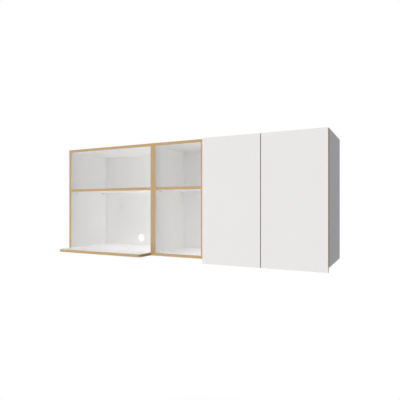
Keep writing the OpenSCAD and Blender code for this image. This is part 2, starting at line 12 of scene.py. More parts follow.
import bmesh
import bpy
import numpy as np
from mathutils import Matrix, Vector


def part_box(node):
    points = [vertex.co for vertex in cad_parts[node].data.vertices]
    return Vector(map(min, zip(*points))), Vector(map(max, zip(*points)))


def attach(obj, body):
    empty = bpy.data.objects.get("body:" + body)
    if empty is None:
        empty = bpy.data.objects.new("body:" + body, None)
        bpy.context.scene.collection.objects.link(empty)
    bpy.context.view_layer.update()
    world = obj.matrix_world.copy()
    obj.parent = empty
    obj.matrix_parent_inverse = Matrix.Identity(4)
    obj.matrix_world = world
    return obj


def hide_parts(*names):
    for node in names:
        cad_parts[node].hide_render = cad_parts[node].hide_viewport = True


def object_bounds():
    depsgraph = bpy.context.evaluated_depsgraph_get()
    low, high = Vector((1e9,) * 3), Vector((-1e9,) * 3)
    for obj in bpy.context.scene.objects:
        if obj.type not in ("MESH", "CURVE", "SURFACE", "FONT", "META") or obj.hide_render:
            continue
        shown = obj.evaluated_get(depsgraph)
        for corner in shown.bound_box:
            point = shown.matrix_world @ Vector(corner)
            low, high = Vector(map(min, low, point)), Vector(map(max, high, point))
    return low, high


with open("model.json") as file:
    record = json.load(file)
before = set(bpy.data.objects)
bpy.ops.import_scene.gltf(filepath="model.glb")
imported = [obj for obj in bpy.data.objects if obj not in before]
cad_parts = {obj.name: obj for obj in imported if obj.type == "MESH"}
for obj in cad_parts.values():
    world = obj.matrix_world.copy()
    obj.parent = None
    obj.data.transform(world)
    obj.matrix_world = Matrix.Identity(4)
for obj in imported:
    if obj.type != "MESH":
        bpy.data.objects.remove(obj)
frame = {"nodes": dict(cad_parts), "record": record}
nodes = frame["nodes"]
cad_low, cad_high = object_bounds()
MM = 0.001
print("CAD box, m:", [round(v, 4) for v in (*cad_low, *cad_high)])

# %% [markdown]
# ## Colour and node helpers
#
# A colour is easiest to pick as the sRGB hex value that a painter or a browser shows,
# but shaders work in linear light. One function does that change everywhere. Another
# adds one shader node with its settings and its links, so that each finish below reads
# as a short list of what it is made of.

# %% Helpers for finishes


def linear(hex_colour):
    """Linear RGBA of an sRGB hex colour: each channel is undone by the sRGB curve."""
    values = np.array([int(hex_colour[i:i + 2], 16) for i in (1, 3, 5)]) / 255
    curve = np.where(values <= 0.04045, values / 12.92, ((values + 0.055) / 1.055) ** 2.4)
    return (*(float(v) for v in curve), 1.0)


def add(tree, kind, inputs=None, **settings):
    """Adds one node. An input's value is a number, a colour, or another node's output."""
    node = tree.nodes.new(kind)
    for name, value in settings.items():
        setattr(node, name, value)
    for key, value in (inputs or {}).items():
        if isinstance(value, bpy.types.NodeSocket):
            tree.links.new(value, node.inputs[key])
        else:
            node.inputs[key].default_value = value
    return node


# A Mix node has sockets for numbers, vectors and colours, and several share a name, so
# those that it uses for colours are picked by their places.
MIX_SHARE, MIX_FIRST, MIX_SECOND, MIX_RESULT = 0, 6, 7, 2


def blend_colours(tree, share, first, second):
    """The colour that is first where share is 0 and second where it is 1."""
    mix = add(tree, "ShaderNodeMix", {
        MIX_SHARE: share, MIX_FIRST: first, MIX_SECOND: second}, data_type="RGBA")
    return mix.outputs[MIX_RESULT]


def new_finish(name):
    """An empty material with that name, and its node tree."""
    finish = bpy.data.materials.new(name)
    finish.use_nodes = True
    finish.node_tree.nodes.clear()
    return finish, finish.node_tree


def per_metre(size_mm):
    """Noise scale at which one feature of a pattern is about size_mm wide."""
    return 1.0 / (size_mm * MM)


print("a mid grey of #808080 is", round(linear("#808080")[0], 3), "in linear light")

# %% [markdown]
# ## White melamine on chipboard
#
# The boards are chipboard with a melamine face: paper soaked in resin and pressed
# against a steel plate that leaves a fine pearl grain. The face is a warm white with a
# satin gloss. A photograph of a board could be laid on each face, but a pattern that is
# worked out from the place of a point needs no file and has no seams. The pearl grain
# is about half a millimetre wide on the real board, too fine for this picture, so it is
# drawn at 1.5 mm, and very shallow. A second, broad and faint mottle keeps the large
# doors from looking like flat paint. The rear edges, which stand against the wall, are
# left raw, and show the pressed chips of the core. They lie in the plane of the wall,
# so the depth alone tells the shader where they are.

# %% White melamine finish
PEARL_MM = 1.5
MOTTLE_MM = 180.0
CHIP_MM = 2.4
RAW_EDGE_MM = 0.3


def deeper_than(tree, place, depth):
    """1 where a point lies further back than that depth, in metres, and 0 elsewhere."""
    parts = add(tree, "ShaderNodeSeparateXYZ", {"Vector": place.outputs["Object"]})
    return add(tree, "ShaderNodeMath", {0: parts.outputs["Y"], 1: depth},
               operation="GREATER_THAN").outputs["Value"]


def make_melamine():
    """White pearl melamine, and raw chipboard on the edges that face the wall."""
    finish, tree = new_finish("white_melamine_pearl")
    place = add(tree, "ShaderNodeTexCoord")
    mottle = add(tree, "ShaderNodeTexNoise", {
        "Vector": place.outputs["Object"], "Scale": per_metre(MOTTLE_MM), "Detail": 3.0})
    white = blend_colours(tree, mottle.outputs["Fac"], linear("#E9E8E6"), linear("#ECEBEA"))
    chips = add(tree, "ShaderNodeTexVoronoi", {
        "Vector": place.outputs["Object"], "Scale": per_metre(CHIP_MM)})
    tone = add(tree, "ShaderNodeSeparateColor", {"Color": chips.outputs["Color"]})
    core = blend_colours(tree, tone.outputs["Red"], linear("#C8A877"), linear("#9A7248"))
    raw = deeper_than(tree, place, -RAW_EDGE_MM * MM)
    colour = blend_colours(tree, raw, white, core)
    pearl = add(tree, "ShaderNodeTexNoise", {
        "Vector": place.outputs["Object"], "Scale": per_metre(PEARL_MM), "Detail": 2.0})
    rough = add(tree, "ShaderNodeMapRange", {
        "Value": pearl.outputs["Fac"], "To Min": 0.50, "To Max": 0.60})
    bump = add(tree, "ShaderNodeBump", {
        "Height": pearl.outputs["Fac"], "Strength": 0.12, "Distance": 0.05 * MM})
    surface = add(tree, "ShaderNodeBsdfPrincipled", {
        "Base Color": colour, "Roughness": rough.outputs["Result"],
        "Normal": bump.outputs["Normal"], "IOR": 1.5, "Specular IOR Level": 0.3})
    add(tree, "ShaderNodeOutputMaterial", {"Surface": surface.outputs["BSDF"]})
    return finish


melamine = make_melamine()
print("made", melamine.name)

# %% [markdown]
# ## Painted hardboard
#
# The thin backs are hardboard, pressed wood fibre. Its front is painted white, smoother
# and a little duller than melamine, and short fibres show through the paint as faint
# streaks in every direction. Its rear is raw and brown, with the print of the wire
# screen that it was pressed on. The screen's mesh is about 1.5 mm, and it is drawn at
# 3 mm so that it shows. A panel is one mesh with one finish, so the depth tells the
# shader which of the two faces it is on, as it does for the raw edges of the boards.

# %% White hardboard finish
FIBRE_MM = 6.0
SCREEN_MM = 3.0
SCREEN_SHARE = 0.4
BEHIND_FACE_MM = 0.2
REAR_FACE_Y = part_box("microwave_back")[1].y


def make_hardboard():
    """Hardboard that is painted white in front and raw, with a screen print, behind."""
    finish, tree = new_finish("white_painted_hardboard")
    place = add(tree, "ShaderNodeTexCoord")
    fibres = add(tree, "ShaderNodeTexNoise", {
        "Vector": place.outputs["Object"], "Scale": per_metre(FIBRE_MM), "Detail": 5.0,
        "Roughness": 0.7, "Distortion": 1.5})
    white = blend_colours(tree, fibres.outputs["Fac"], linear("#E6E5E3"), linear("#EAE9E8"))
    brown = blend_colours(tree, fibres.outputs["Fac"], linear("#BC9C78"), linear("#9C7B58"))
    screen = add(tree, "ShaderNodeTexVoronoi", {
        "Vector": place.outputs["Object"], "Scale": per_metre(SCREEN_MM), "Randomness": 0.05},
        distance="CHEBYCHEV")
    raw = deeper_than(tree, place, REAR_FACE_Y - BEHIND_FACE_MM * MM)
    colour = blend_colours(tree, raw, white, brown)
    screen_print = add(tree, "ShaderNodeMath", {0: screen.outputs["Distance"], 1: raw},
                       operation="MULTIPLY")
    height = add(tree, "ShaderNodeMath", {
        0: screen_print.outputs["Value"], 1: SCREEN_SHARE, 2: fibres.outputs["Fac"]},
        operation="MULTIPLY_ADD")
    bump = add(tree, "ShaderNodeBump", {
        "Height": height.outputs["Value"], "Strength": 0.15, "Distance": 0.1 * MM})
    rough = add(tree, "ShaderNodeMapRange", {"Value": raw, "To Min": 0.58, "To Max": 0.85})
    surface = add(tree, "ShaderNodeBsdfPrincipled", {
        "Base Color": colour, "Roughness": rough.outputs["Result"],
        "Normal": bump.outputs["Normal"], "IOR": 1.5})
    add(tree, "ShaderNodeOutputMaterial", {"Surface": surface.outputs["BSDF"]})
    return finish


hardboard = make_hardboard()
print("made", hardboard.name)

# %% [markdown]
# ## Oak-tone edging
#
# The front edges carry a strip of ABS plastic printed with an oak pattern, its grain
# along the strip. Some strips are upright, some are level and one goes round two
# corners, so the pattern can't follow X, Y or Z. Each strip built below has its own UV
# map in metres instead: U runs along the strip and V across it. The grain is a noise
# that is stretched along U, fine pores over a broad figure. The print is matt, so a
# strip looks the same tone from most sides.

# %% Oak-tone edging finish
PORE_MM = (1.3, 50.0)       # width, length
FIGURE_MM = (7.0, 180.0)


def make_oak_edging():
    """Matt plastic edging printed with pores and a broad figure along the strip."""
    finish, tree = new_finish("oak_print_abs_edging")
    place = add(tree, "ShaderNodeTexCoord")
    tones = []
    for width, length in (PORE_MM, FIGURE_MM):
        stretched = add(tree, "ShaderNodeMapping", {
            "Vector": place.outputs["UV"],
            "Scale": (per_metre(length), per_metre(width), 1.0)})
        tones.append(add(tree, "ShaderNodeTexNoise", {
            "Vector": stretched.outputs["Vector"], "Scale": 1.0, "Detail": 4.0,
            "Roughness": 0.6}).outputs["Fac"])
    fine, broad = tones
    base = blend_colours(tree, broad, linear("#C8AB7E"), linear("#B99A6E"))
    pores = add(tree, "ShaderNodeMapRange", {
        "Value": fine, "From Min": 0.52, "From Max": 0.72, "To Max": 0.55})
    oak = blend_colours(tree, pores.outputs["Result"], base, linear("#A07C4F"))
    bump = add(tree, "ShaderNodeBump", {
        "Height": fine, "Strength": 0.25, "Distance": 0.08 * MM})
    surface = add(tree, "ShaderNodeBsdfPrincipled", {
        "Base Color": oak, "Roughness": 0.6, "Normal": bump.outputs["Normal"], "IOR": 1.5,
        "Specular IOR Level": 0.3})
    add(tree, "ShaderNodeOutputMaterial", {"Surface": surface.outputs["BSDF"]})
    return finish


oak = make_oak_edging()
print("made", oak.name)

# %% [markdown]
# ## Plated metal
#
# Hinges are nickel plated: warm, bright and a little cloudy. Screws, rails, hooks and
# cams are zinc plated, which is cooler, duller and blotchy from the bath. Both are
# metals, so their colour is the colour of their reflection, and what changes over the
# surface is mostly how rough it is. One function makes both, because they differ only
# in their two tones and in how smooth they are.

# %% Nickel and zinc finishes
CLOUD_MM = 9.0
SCRATCH_MM = 0.6


def make_plated(name, light, dark, smooth, dull):
    """A plated metal from its two tones and its lowest and highest roughness."""
    finish, tree = new_finish(name)
    place = add(tree, "ShaderNodeTexCoord")
    clouds = add(tree, "ShaderNodeTexNoise", {
        "Vector": place.outputs["Object"], "Scale": per_metre(CLOUD_MM), "Detail": 4.0})
    scratches = add(tree, "ShaderNodeTexNoise", {
        "Vector": place.outputs["Object"], "Scale": per_metre(SCRATCH_MM), "Detail": 2.0})
    tint = blend_colours(tree, clouds.outputs["Fac"], linear(light), linear(dark))
    rough = add(tree, "ShaderNodeMapRange", {
        "Value": clouds.outputs["Fac"], "From Min": 0.3, "From Max": 0.7,
        "To Min": smooth, "To Max": dull})
    bump = add(tree, "ShaderNodeBump", {
        "Height": scratches.outputs["Fac"], "Strength": 0.08, "Distance": 0.03 * MM})
    surface = add(tree, "ShaderNodeBsdfPrincipled", {
        "Base Color": tint, "Metallic": 1.0,
        "Roughness": rough.outputs["Result"], "Normal": bump.outputs["Normal"]})
    add(tree, "ShaderNodeOutputMaterial", {"Surface": surface.outputs["BSDF"]})
    return finish


nickel = make_plated("nickel_plated_steel", "#E2E0DA", "#CBC8C0", 0.24, 0.38)
zinc = make_plated("zinc_plated_steel", "#CDD1D5", "#AEB3B9", 0.32, 0.50)
print("made", nickel.name, "and", zinc.name)

# %% [markdown]
# ## Beech dowels, soft bumpers and shelf pins
#
# The dowels are turned from beech, pale and fine grained, with short dark flecks along
# the grain, which runs along X. A noise that is stretched along X gives these flecks.
# The bumpers on the doors' backs are clear soft polyurethane. A little transmission and
# a smooth surface tell it from the white board. The shelf pins are moulded in white
# plastic, satin from the fine grain of the mould.

# %% Beech, polyurethane and white plastic finishes
FLECK_WIDTH_MM, FLECK_LENGTH_MM = 0.5, 4.0
HAZE_MM = 2.0
MOULD_GRAIN_MM = 0.3


def make_beech():
    """Beech with short dark flecks along X."""
    finish, tree = new_finish("turned_beech")
    place = add(tree, "ShaderNodeTexCoord")
    along, across = per_metre(FLECK_LENGTH_MM), per_metre(FLECK_WIDTH_MM)
    stretched = add(tree, "ShaderNodeMapping", {
        "Vector": place.outputs["Object"], "Scale": (along, across, across)})
    flecks = add(tree, "ShaderNodeTexNoise", {
        "Vector": stretched.outputs["Vector"], "Scale": 1.0, "Detail": 3.0})
    wood = blend_colours(tree, flecks.outputs["Fac"], linear("#D9BC92"), linear("#B98F62"))
    surface = add(tree, "ShaderNodeBsdfPrincipled", {
        "Base Color": wood, "Roughness": 0.65, "IOR": 1.5})
    add(tree, "ShaderNodeOutputMaterial", {"Surface": surface.outputs["BSDF"]})
    return finish


def make_polyurethane():
    """Clear soft plastic with a slight haze on its surface."""
    finish, tree = new_finish("clear_soft_polyurethane")
    place = add(tree, "ShaderNodeTexCoord")
    haze = add(tree, "ShaderNodeTexNoise", {
        "Vector": place.outputs["Object"], "Scale": per_metre(HAZE_MM), "Detail": 2.0})
    rough = add(tree, "ShaderNodeMapRange", {
        "Value": haze.outputs["Fac"], "To Min": 0.18, "To Max": 0.30})
    surface = add(tree, "ShaderNodeBsdfPrincipled", {
        "Base Color": linear("#E8E9E8"), "Roughness": rough.outputs["Result"],
        "IOR": 1.5, "Transmission Weight": 0.55})
    add(tree, "ShaderNodeOutputMaterial", {"Surface": surface.outputs["BSDF"]})
    return finish


def make_white_plastic():
    """White plastic with the fine grain of its mould."""
    finish, tree = new_finish("moulded_white_plastic")
    place = add(tree, "ShaderNodeTexCoord")
    grain = add(tree, "ShaderNodeTexNoise", {
        "Vector": place.outputs["Object"], "Scale": per_metre(MOULD_GRAIN_MM), "Detail": 2.0})
    rough = add(tree, "ShaderNodeMapRange", {
        "Value": grain.outputs["Fac"], "To Min": 0.38, "To Max": 0.52})
    bump = add(tree, "ShaderNodeBump", {
        "Height": grain.outputs["Fac"], "Strength": 0.1, "Distance": 0.02 * MM})
    surface = add(tree, "ShaderNodeBsdfPrincipled", {
        "Base Color": linear("#DCDCD8"), "Roughness": rough.outputs["Result"],
        "Normal": bump.outputs["Normal"], "IOR": 1.49})
    add(tree, "ShaderNodeOutputMaterial", {"Surface": surface.outputs["BSDF"]})
    return finish


beech, polyurethane, white_plastic = make_beech(), make_polyurethane(), make_white_plastic()
print("made", beech.name, "and", polyurethane.name, "and", white_plastic.name)

# %% [markdown]
# ## Each CAD node gets its finish
#
# The record that comes with the frame names a material slot for each node. That is the
# shortest true list of what is made of what, so the finishes are handed out by slot
# instead of node by node.

# %% Finishes by slot
finish_of_slot = {
    "white_melamine": melamine, "white_hardboard": hardboard, "oak_edging": oak,
    "nickel_plate": nickel, "zinc_plate": zinc, "beech": beech,
    "bumper_rubber": polyurethane, "white_plastic": white_plastic}
slot_of_node = {s["node"]: s["material_slot"] for s in frame["record"]["subparts"]}


def dress(piece, finish):
    """Gives a mesh one finish in its only material slot."""
    piece.data.materials.clear()
    piece.data.materials.append(finish)


for name, node in nodes.items():
    dress(node, finish_of_slot[slot_of_node[name]])
print("dressed", len(nodes), "nodes in", len(finish_of_slot), "finishes")

# %% [markdown]
# ## Pieces from arrays
#
# Strips and screws could be drawn by hand with Blender's own tools. A formula is chosen
# here, because it takes its sizes from the CAD boards and says where each point lies.
# Every new piece is a grid of points that numpy works out at once. A grid's faces are
# always the same: each joins a point to its right and upper neighbours. One function
# makes them, and another joins several grids into one piece, merges the points that
# coincide at seams and poles, and turns all faces outwards.

# %% Helpers for pieces
MERGE_DISTANCE = 1e-7       # in metres
SHARP_ANGLE = np.radians(35.0)


def grid_faces(rows, columns):
    """Quads of a grid whose last column is joined to its first, so it is a tube."""
    row, column = np.meshgrid(np.arange(rows - 1), np.arange(columns), indexing="ij")
    row, column = row.ravel(), column.ravel()
    beside = (column + 1) % columns
    quads = np.stack([row * columns + column, row * columns + beside,
                      (row + 1) * columns + beside, (row + 1) * columns + column], axis=1)
    return quads.tolist()


def make_piece(name, parts, finish, body, slot, *replaced):
    """One piece from parts of (points, uv), each a tube on a grid with closed ends."""
    points, uvs, faces, start = [], [], [], 0
    for grid, uv in parts:
        rows, columns = grid.shape[:2]
        faces += [[start + i for i in face] for face in grid_faces(rows, columns)]
        faces.append(list(range(start, start + columns)))
        faces.append(list(range(start + (rows - 1) * columns, start + rows * columns)))
        points.append(grid.reshape(-1, 3))
        uvs.append(uv.reshape(-1, 2))
        start += rows * columns
    mesh = bpy.data.meshes.new(name)
    mesh.from_pydata(np.concatenate(points).tolist(), [], faces)
    corner = np.empty(len(mesh.loops), int)
    mesh.loops.foreach_get("vertex_index", corner)
    layer = mesh.uv_layers.new(name="surface")
    layer.data.foreach_set("uv", np.concatenate(uvs)[corner].ravel())
    work = bmesh.new()
    work.from_mesh(mesh)
    bmesh.ops.remove_doubles(work, verts=work.verts, dist=MERGE_DISTANCE)
    bmesh.ops.recalc_face_normals(work, faces=work.faces)
    work.to_mesh(mesh)
    work.free()
    mesh.shade_smooth()
    mesh.set_sharp_from_angle(angle=SHARP_ANGLE)
    piece = bpy.data.objects.new(name, mesh)
    bpy.context.scene.collection.objects.link(piece)
    dress(piece, finish)
    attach(piece, body)
    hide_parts(*replaced)
    print(name, "has", len(mesh.polygons), "faces")


print("a tube of 3 rings with 8 points each has", len(grid_faces(3, 8)), "faces round it")

# %% [markdown]
# ## Edging strips
#
# Edging is glued on, trimmed flush, and its two outer corners are rounded by a cutter,
# which gives each board edge its soft highlight. A plain box would have a hard one. So a
# strip is its cross-section, a thin bar with two round corners, carried along the board
# edge. The sizes come from the boxes of the CAD boards, so a strip stays where its board
# is. Each strip has a number, and its UV map is shifted by so many steps, which gives
# it its own stretch of grain.

# %% Strips along a path
ROUNDING = 0.4 * MM
ARC_STEPS = 6
GRAIN_STEP_ALONG, GRAIN_STEP_ACROSS = 0.37, 0.11        # in metres


def bar_profile(width, thickness):
    """Across and outward sizes of the bar: two feet, and two quarter circles between.
    A quarter circle's point is its centre plus the rounding times (cos a, sin a)."""
    turn = np.linspace(0.0, np.pi / 2, ARC_STEPS)
    x, y = width / 2 - ROUNDING, thickness - ROUNDING
    right = np.stack([x + ROUNDING * np.cos(turn), y + ROUNDING * np.sin(turn)], axis=1)
    left = np.stack([-right[::-1, 0], right[::-1, 1]], axis=1)
    return np.concatenate([[[width / 2, 0.0]], right, left, [[-width / 2, 0.0]]])


def distances(line):
    """How far along a line of points each one lies: the sum of the steps before it."""
    steps = np.linalg.norm(np.diff(line, axis=0), axis=1)
    return np.concatenate([[0.0], np.cumsum(steps)])


def strip(path, outward, across, width, thickness, number):
    """The bar's profile carried along a path: point (i, j) is path point i plus the
    profile's j-th size across, times the across direction, plus its size outward,
    times the outward direction at i. U is the length along, V the length around."""
    path, outward, across = (np.asarray(a, float) for a in (path, outward, across))
    profile = bar_profile(width, thickness)
    grid = (path[:, None] + profile[None, :, :1] * across
            + profile[None, :, 1:] * outward[:, None])
    along = distances(path) + GRAIN_STEP_ALONG * number
    around = distances(profile) + GRAIN_STEP_ACROSS * number
    uv = np.stack(np.meshgrid(along, around, indexing="ij"), axis=2)
    return grid, uv


def straight(start, end, outward, across, width, thickness, number):
    """A straight strip from start to end."""
    return strip([start, end], [outward, outward], across, width, thickness, number)


print("a strip's cross-section has", len(bar_profile(15 * MM, 0.5 * MM)), "points")

# %% [markdown]
# ## Edging on the units' front edges
#
# The sides of a unit run from top to bottom, and its level boards stand between them,
# so the upright strips are the long ones and the level ones fit between the sides. The
# shelf is a little shorter than its bay, and so is its strip. The CAD model has plain
# bars there. They could be bevelled, but a bar is a closed box without a UV map along
# it, so new strips replace them, and those of one unit are one piece, because they
# never part. The bottom of the microwave unit has its own edging, further down.

# %% Edging on the units' front edges
FRONT = (0.0, -1.0, 0.0)
ACROSS_X, ACROSS_Y, ACROSS_Z = (1.0, 0.0, 0.0), (0.0, 1.0, 0.0), (0.0, 0.0, 1.0)
STRIPS_OF_UNIT = 5
edging_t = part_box("microwave_left_side")[0].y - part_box("microwave_front_bands")[0].y
print("the edging is", round(edging_t / MM, 2), "mm thick")


def upright_edge(board, number):
    """The strip on the front edge of an upright board."""
    low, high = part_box(board)
    middle = (low.x + high.x) / 2
    return straight((middle, low.y, low.z), (middle, low.y, high.z), FRONT, ACROSS_X,
                    high.x - low.x, edging_t, number)


def level_edge(board, left, right, number):
    """The strip on the front edge of a level board, from x = left to x = right."""
    low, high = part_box(board)
    middle = (low.z + high.z) / 2
    return straight((left, low.y, middle), (right, low.y, middle), FRONT, ACROSS_Z,
                    high.z - low.z, edging_t, number)


UNITS = ("microwave", "narrow", "door_unit")
for place_in_row, unit in enumerate(UNITS):
    first = STRIPS_OF_UNIT * place_in_row
    inner_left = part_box(f"{unit}_left_side")[1].x
    inner_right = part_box(f"{unit}_right_side")[0].x
    shelf_low, shelf_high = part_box(f"{unit}_shelf")
    strips = [
        upright_edge(f"{unit}_left_side", first),
        upright_edge(f"{unit}_right_side", first + 1),
        level_edge(f"{unit}_top", inner_left, inner_right, first + 2),
        level_edge(f"{unit}_shelf", shelf_low.x, shelf_high.x, first + 3)]
    if unit != "microwave":
        strips.append(level_edge(f"{unit}_bottom", inner_left, inner_right, first + 4))
    make_piece(f"{unit}_edging", strips, oak, "carcass", "oak_edging", f"{unit}_front_bands")

# %% [markdown]
# ## Edging round the projecting bottom
#
# One strip runs along the left end, round the first corner, along the front, round the
# second corner and back. It could be three straight strips and two bent ones, but the
# real one is laid in one go and its grain runs on round the corners. So its path is the
# board's own outline: two quarter circles joined by straight lines, with the outward
# direction turning from left through front to right.

# %% Edging round the projecting bottom
CORNER_R = 20 * MM
CORNER_STEPS = 12
BOTTOM_STRIP = STRIPS_OF_UNIT * len(UNITS)
base_low, base_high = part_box("microwave_bottom_band")
half_w = (base_high.x - base_low.x) / 2
turn = np.linspace(0.0, np.pi / 2, CORNER_STEPS)
angle = np.concatenate([[np.pi], np.pi + turn, 1.5 * np.pi + turn, [2 * np.pi]])
outward = np.stack([np.cos(angle), np.sin(angle), 0 * angle], axis=1)
left_or_right = np.repeat([-1.0, 1.0], CORNER_STEPS + 1)     # first the left corner
centre_x = (base_low.x + base_high.x) / 2 + left_or_right * (half_w - CORNER_R)
centre_y = np.full(len(angle), base_low.y + CORNER_R)
centre_y[[0, -1]] = base_high.y
centre_z = np.full(len(angle), (base_low.z + base_high.z) / 2)
centres = np.stack([centre_x, centre_y, centre_z], axis=1)
wrapped = strip(centres + (CORNER_R - edging_t) * outward, outward, ACROSS_Z,
                base_high.z - base_low.z, edging_t, BOTTOM_STRIP)
make_piece("microwave_bottom_edging", [wrapped], oak, "carcass", "oak_edging",
           "microwave_bottom_band")

# %% [markdown]
# ## Edging of the doors
#
# Each door has four strips. The upright ones are as long as the door, and the level
# ones fit between them, as an edge banding machine leaves them. They could run round in
# one strip too, but a real strip is cut at a square corner, so four straight ones are
# made. They ride on their door, so they swing with it.

# %% Edging of the doors
DOOR_STRIPS_FROM = 20
for place_in_row, side in enumerate(("left", "right")):
    low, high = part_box(f"{side}_door")
    out_low, out_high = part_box(f"{side}_door_bands")
    depth = (low.y + high.y) / 2
    runs = (  # start, end, outward direction
        ((low.x, depth, out_low.z), (low.x, depth, out_high.z), (-1.0, 0.0, 0.0)),
        ((high.x, depth, out_low.z), (high.x, depth, out_high.z), (1.0, 0.0, 0.0)),
        ((low.x, depth, low.z), (high.x, depth, low.z), (0.0, 0.0, -1.0)),
        ((low.x, depth, high.z), (high.x, depth, high.z), (0.0, 0.0, 1.0)))
    first = DOOR_STRIPS_FROM + len(runs) * place_in_row
    strips = [straight(*run, ACROSS_Y, high.y - low.y, edging_t, first + i)
              for i, run in enumerate(runs)]
    make_piece(f"{side}_door_edging", strips, oak, f"{side}_door", "oak_edging",
               f"{side}_door_bands")

# %% [markdown]
# ## Screws
#
# A screw is round, so it is a profile spun round an axis: point, shank, and a head whose
# rounded form is a superellipse, fuller than an ellipse. Blender's Spin tool would do
# that as well, but a grid of points can also take the cross recess, as a screw maker
# presses it in: wherever a point of the head lies inside the cross, it sinks. The head
# has to be finely divided for that, and the shank, which is out of sight in the wood,
# doesn't. The recess's sizes are shares of the head's.

# %% Turned screws
SCREW_COLUMNS = 48
HEAD_ROWS = 18
HEAD_POWER = 0.7
TIP_R = 1e-6                # in metres, so small that the end looks closed
RECESS_REACH, RECESS_DEPTH = 0.62, 0.55
RECESS_BAR, RECESS_SLOPE = 0.24, 0.3


def turned(profile):
    """A profile of (radius, height) spun round Z: point (i, j) is the i-th radius times
    (cos a, sin a) of the j-th angle, at the i-th height."""
    profile = np.asarray(profile, float)
    angle = np.linspace(0.0, 2 * np.pi, SCREW_COLUMNS, endpoint=False)
    radius, height = profile[:, :1], profile[:, 1:]
    return np.stack([radius * np.cos(angle), radius * np.sin(angle),
                     height + 0 * angle], axis=2)


def cross_recess(grid, reach, depth):
    """Sinks the points inside a cross: how far a point is inside one bar is the smaller
    of its two distances to the bar's edges, and the cross is the deeper of its bars."""
    x, y = np.abs(grid[..., 0]), np.abs(grid[..., 1])
    half = RECESS_BAR * reach
    inside = np.maximum(np.minimum(reach - x, half - y), np.minimum(half - x, reach - y))
    sunk = grid.copy()
    sunk[..., 2] -= depth * np.clip(inside / (RECESS_SLOPE * half), 0.0, 1.0)
    return sunk


def screw(head_r, head_l, shank_r, shank_l):
    """A screw along Z with its head's underside at 0: radii and lengths in metres. The
    head's radius and height go with the cosine and sine of an angle, to a power."""
    phi = np.linspace(0.0, np.pi / 2, HEAD_ROWS)
    head = np.stack([head_r * np.cos(phi) ** HEAD_POWER,
                     head_l * np.sin(phi) ** HEAD_POWER], axis=1)
    head[-1, 0] = TIP_R
    shank = [(TIP_R, -shank_l), (shank_r, -shank_l + shank_r), (shank_r, 0.0)]
    head_grid = cross_recess(turned(head), RECESS_REACH * head_r, RECESS_DEPTH * head_l)
    return np.concatenate([turned(shank), head_grid])


def aimed(grid, origin, axis):
    """Turns Z to the axis, one of the six directions of the frame, and moves it there."""
    axis = np.asarray(axis, float)
    side = np.roll(axis, 1)
    turned_grid = grid @ np.stack([side, np.cross(axis, side), axis])
    return turned_grid + np.asarray(origin, float)


def placed_screws(shape, origins, axes):
    """Parts for make_piece: the same screw at each origin along each axis."""
    no_uv = np.zeros((*shape.shape[:2], 2))
    return [(aimed(shape, origin, axis), no_uv) for origin, axis in zip(origins, axes)]


# Sizes in millimetres: the head's radius and height, the shank's radius and length
SCREW_MM = {
    "plate": (3.8, 2.0, 2.0, 12.5), "arm": (3.8, 2.0, 2.5, 4.5), "grub": (2.5, 1.0, 2.5, 4.5),
    "cup": (3.5, 0.8, 2.0, 11.0), "fixing": (3.8, 2.0, 2.0, 13.5)}
screws = {kind: screw(*(size * MM for size in sizes)) for kind, sizes in SCREW_MM.items()}
print("a screw has", screws["plate"].shape[0], "rings of", SCREW_COLUMNS, "points")

# %% [markdown]
# ## Hinge screws
#
# Each hinge has a plate on the side, held by two screws that stand one above the other
# in the row of system holes, 32 mm apart and 37 mm behind the front. The arm sits on
# the plate, held by one screw and set by a headless one, the grub screw. Two more hold
# the cup's flange to the door. The CAD model has plain rods with disc heads in these
# places. The new screws go where those are, and the ones in the cups ride on their door.

# %% Plate and arm screws
HINGE_Z = (-455 * MM, -55 * MM)
DOOR_UNIT_SIDES = {"left": (150 * MM, 1.0), "right": (750 * MM, -1.0)}  # outer x, inwards
FRONT_Y = -342 * MM         # the front of the unit's sides
PLATE_FACE, PLATE_SCREW_BACK, PLATE_SCREW_SPACING = 16.5 * MM, 37 * MM, 32 * MM
ARM_FACE, ARM_SCREW_BACK, GRUB_SCREW_BACK = 21 * MM, 50 * MM, 26 * MM

plate_parts, arm_parts = [], []
for x, inwards in DOOR_UNIT_SIDES.values():
    axes = [(inwards, 0.0, 0.0)]
    for z in HINGE_Z:
        for step in (-PLATE_SCREW_SPACING / 2, PLATE_SCREW_SPACING / 2):
            origin = (x + inwards * PLATE_FACE, FRONT_Y + PLATE_SCREW_BACK, z + step)
            plate_parts += placed_screws(screws["plate"], [origin], axes)
        for kind, back in (("arm", ARM_SCREW_BACK), ("grub", GRUB_SCREW_BACK)):
            origin = (x + inwards * ARM_FACE, FRONT_Y + back, z)
            arm_parts += placed_screws(screws[kind], [origin], axes)
make_piece("plate_screws", plate_parts, zinc, "carcass", "zinc_plate", "hinge_plate_screws")
make_piece("arm_screws", arm_parts, zinc, "carcass", "zinc_plate", "hinge_arm_screws")

# %% Cup screws
CUP_SCREW_IN, FLANGE_FACE, CUP_SCREW_SPACING = 31.5 * MM, -2 * MM, 45 * MM
BACKWARDS = (0.0, 1.0, 0.0)

for side, (x, inwards) in DOOR_UNIT_SIDES.items():
    origins = [(x + inwards * CUP_SCREW_IN, FRONT_Y + FLANGE_FACE, z + step)
               for z in HINGE_Z for step in (-CUP_SCREW_SPACING / 2, CUP_SCREW_SPACING / 2)]
    cup_parts = placed_screws(screws["cup"], origins, [BACKWARDS] * len(origins))
    make_piece(f"{side}_cup_screws", cup_parts, zinc, f"{side}_door", "zinc_plate",
               f"{side}_hinge_cup_screws")

